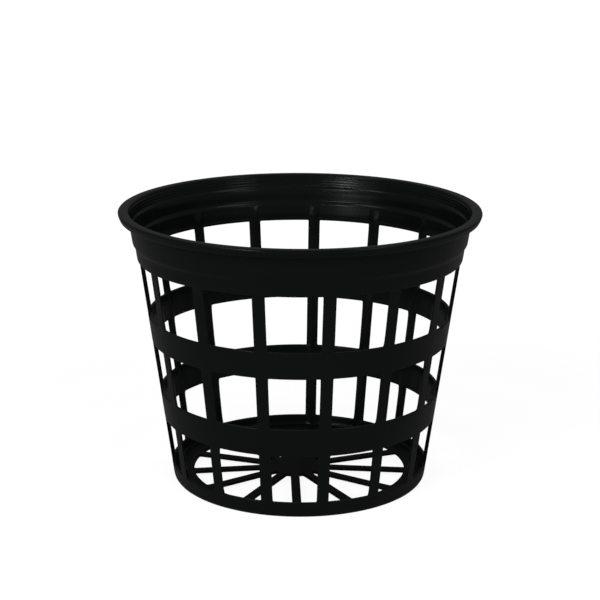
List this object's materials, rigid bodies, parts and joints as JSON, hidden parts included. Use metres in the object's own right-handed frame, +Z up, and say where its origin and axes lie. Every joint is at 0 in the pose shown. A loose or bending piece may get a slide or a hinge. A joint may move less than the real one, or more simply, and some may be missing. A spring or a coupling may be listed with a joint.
{
  "type": "net pot",
  "caption": "Small tapered basket pot with an open wall of ribs and bands, an open spoked floor, a stepped collar and an out-turned rim that hangs in a round hole.",
  "frame": {"origin": "on the pot's axis, at the underside of the foot ring that it stands on", "axes": "+Z up along the pot's axis, out of its mouth; the pictured front faces -Y and +X is to the right in the picture"},
  "size_m": [0.07, 0.07, 0.0539],
  "materials": {
    "black_plastic": "satin moulded polypropylene"
  },
  "bodies": {
    "root": {"rim": "black_plastic", "collar": "black_plastic", "upper_band": "black_plastic", "lower_band": "black_plastic", "base_ring": "black_plastic", "floor_grille": "black_plastic", "upper_rib_01": "black_plastic", "upper_rib_02": "black_plastic", "upper_rib_03": "black_plastic", "upper_rib_04": "black_plastic", "upper_rib_05": "black_plastic", "upper_rib_06": "black_plastic", "upper_rib_07": "black_plastic", "upper_rib_08": "black_plastic", "upper_rib_09": "black_plastic", "upper_rib_10": "black_plastic", "upper_rib_11": "black_plastic", "upper_rib_12": "black_plastic", "upper_rib_13": "black_plastic", "upper_rib_14": "black_plastic", "upper_rib_15": "black_plastic", "middle_rib_01": "black_plastic", "middle_rib_02": "black_plastic", "middle_rib_03": "black_plastic", "middle_rib_04": "black_plastic", "middle_rib_05": "black_plastic", "middle_rib_06": "black_plastic", "middle_rib_07": "black_plastic", "middle_rib_08": "black_plastic", "middle_rib_09": "black_plastic", "middle_rib_10": "black_plastic", "middle_rib_11": "black_plastic", "middle_rib_12": "black_plastic", "middle_rib_13": "black_plastic", "middle_rib_14": "black_plastic", "middle_rib_15": "black_plastic", "lower_rib_01": "black_plastic", "lower_rib_02": "black_plastic", "lower_rib_03": "black_plastic", "lower_rib_04": "black_plastic", "lower_rib_05": "black_plastic", "lower_rib_06": "black_plastic", "lower_rib_07": "black_plastic", "lower_rib_08": "black_plastic", "lower_rib_09": "black_plastic", "lower_rib_10": "black_plastic", "lower_rib_11": "black_plastic", "lower_rib_12": "black_plastic", "lower_rib_13": "black_plastic", "lower_rib_14": "black_plastic", "lower_rib_15": "black_plastic"}
  },
  "joints": []
}
